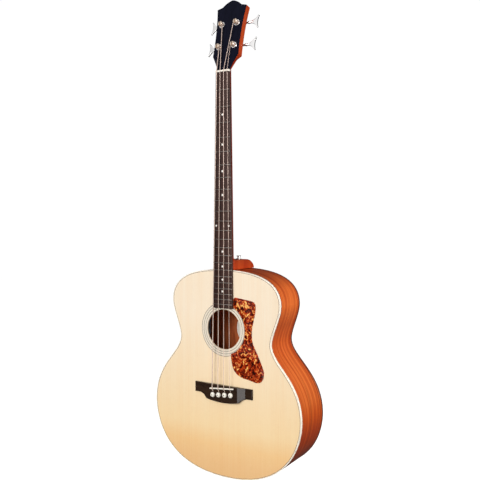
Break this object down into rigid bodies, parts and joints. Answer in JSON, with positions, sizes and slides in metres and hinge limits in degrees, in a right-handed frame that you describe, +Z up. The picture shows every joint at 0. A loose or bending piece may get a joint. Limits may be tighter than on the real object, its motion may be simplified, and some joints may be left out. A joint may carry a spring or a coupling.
{
  "type": "acoustic bass guitar",
  "caption": "Jumbo-bodied acoustic bass guitar with fretted neck, tilted headstock, open geared tuners, pinned bridge, pickguard, end-pin jack and strap button.",
  "frame": {"origin": "on the centre line in the plane of the soundboard's front face, at the nut's lower edge, between the arms of the hanger that carries the headstock", "axes": "+Z runs up the neck, +X points to the thin strings' side, -Y points out of the soundboard"},
  "size_m": [0.44, 0.1394, 1.2006],
  "materials": {
    "spruce": "clear gloss lacquer over fine straight grain",
    "mahogany": "red-brown stain under gloss lacquer",
    "neck_wood": "red-brown stain under satin lacquer",
    "plain_wood": "bare planed wood",
    "rosewood": "oiled dark brown wood",
    "black_veneer": "black gloss lacquer",
    "cream": "polished with the lacquer",
    "bone": "polished off-white",
    "shell": "polished, mottled brown and amber",
    "paper": "uncoated",
    "chrome": "mirror",
    "steel": "plain",
    "bronze": "wound bronze, slightly dulled",
    "black_plastic": "moulded"
  },
  "bodies": {
    "guitar": {"soundboard": "spruce", "back_plate": "mahogany", "side_bass": "mahogany", "side_treble": "mahogany", "front_binding": "cream", "back_binding": "mahogany", "neck_block": "plain_wood", "tail_block": "plain_wood", "front_lining_bass": "plain_wood", "front_lining_treble": "plain_wood", "back_lining_bass": "plain_wood", "back_lining_treble": "plain_wood", "x_brace_bass": "plain_wood", "x_brace_treble": "plain_wood", "upper_brace": "plain_wood", "tone_bar": "plain_wood", "bridge_plate": "plain_wood", "back_brace_1": "plain_wood", "back_brace_2": "plain_wood", "back_brace_3": "plain_wood", "rosette": "cream", "label": "paper", "pickguard": "shell", "bridge": "rosewood", "saddle": "bone", "saddle_pickup": "steel", "preamp_housing": "black_plastic", "neck": "neck_wood", "truss_rod": "steel", "fretboard": "rosewood", "nut": "bone", "headstock_veneer": "black_veneer", "strap_button": "chrome", "end_pin_jack": "chrome", "bridge_pin_E": "bone", "tuner_plate_E": "chrome", "post_bushing_E": "chrome", "string_E": "bronze", "bridge_pin_A": "bone", "tuner_plate_A": "chrome", "post_bushing_A": "chrome", "string_A": "bronze", "bridge_pin_D": "bone", "tuner_plate_D": "chrome", "post_bushing_D": "chrome", "string_D": "bronze", "bridge_pin_G": "bone", "tuner_plate_G": "chrome", "post_bushing_G": "chrome", "string_G": "bronze"},
    "volume_wheel": {"volume_wheel": "black_plastic"},
    "tone_wheel": {"tone_wheel": "black_plastic"},
    "string_post_E": {"string_post_E": "chrome"},
    "string_post_A": {"string_post_A": "chrome"},
    "string_post_D": {"string_post_D": "chrome"},
    "string_post_G": {"string_post_G": "chrome"},
    "tuner_key_E": {"tuner_key_E": "chrome"},
    "tuner_key_A": {"tuner_key_A": "chrome"},
    "tuner_key_D": {"tuner_key_D": "chrome"},
    "tuner_key_G": {"tuner_key_G": "chrome"}
  },
  "joints": [
    {"name": "key_turn_E", "type": "hinge", "parent": "guitar", "child": "tuner_key_E", "pos_m": [-0.0225, 0.03609, 0.07075], "axis": [-1, 0, 0], "continuous": true},
    {"name": "post_turn_E", "type": "hinge", "parent": "guitar", "child": "string_post_E", "pos_m": [-0.0225, 0.01364, 0.06651], "axis": [0, 0.9763, -0.2164], "continuous": true},
    {"name": "key_turn_A", "type": "hinge", "parent": "guitar", "child": "tuner_key_A", "pos_m": [-0.0225, 0.04907, 0.12933], "axis": [-1, 0, 0], "continuous": true},
    {"name": "post_turn_A", "type": "hinge", "parent": "guitar", "child": "string_post_A", "pos_m": [-0.0225, 0.02662, 0.12508], "axis": [0, 0.9763, -0.2164], "continuous": true},
    {"name": "key_turn_D", "type": "hinge", "parent": "guitar", "child": "tuner_key_D", "pos_m": [0.0225, 0.04907, 0.12933], "axis": [1, 0, 0], "continuous": true},
    {"name": "post_turn_D", "type": "hinge", "parent": "guitar", "child": "string_post_D", "pos_m": [0.0225, 0.02662, 0.12508], "axis": [0, 0.9763, -0.2164], "continuous": true},
    {"name": "key_turn_G", "type": "hinge", "parent": "guitar", "child": "tuner_key_G", "pos_m": [0.0225, 0.03609, 0.07075], "axis": [1, 0, 0], "continuous": true},
    {"name": "post_turn_G", "type": "hinge", "parent": "guitar", "child": "string_post_G", "pos_m": [0.0225, 0.01364, 0.06651], "axis": [0, 0.9763, -0.2164], "continuous": true},
    {"name": "volume_turn", "type": "hinge", "parent": "guitar", "child": "volume_wheel", "pos_m": [-0.0525, 0.0065, -0.619], "axis": [0, -1, 0], "range_deg": [-135, 135]},
    {"name": "tone_turn", "type": "hinge", "parent": "guitar", "child": "tone_wheel", "pos_m": [-0.0525, 0.0065, -0.647], "axis": [0, -1, 0], "range_deg": [-135, 135]}
  ],
  "couplings": [
    {"joint": "post_turn_E", "follows": "key_turn_E", "ratio": 0.0625},
    {"joint": "post_turn_A", "follows": "key_turn_A", "ratio": 0.0625},
    {"joint": "post_turn_D", "follows": "key_turn_D", "ratio": -0.0625},
    {"joint": "post_turn_G", "follows": "key_turn_G", "ratio": -0.0625}
  ]
}
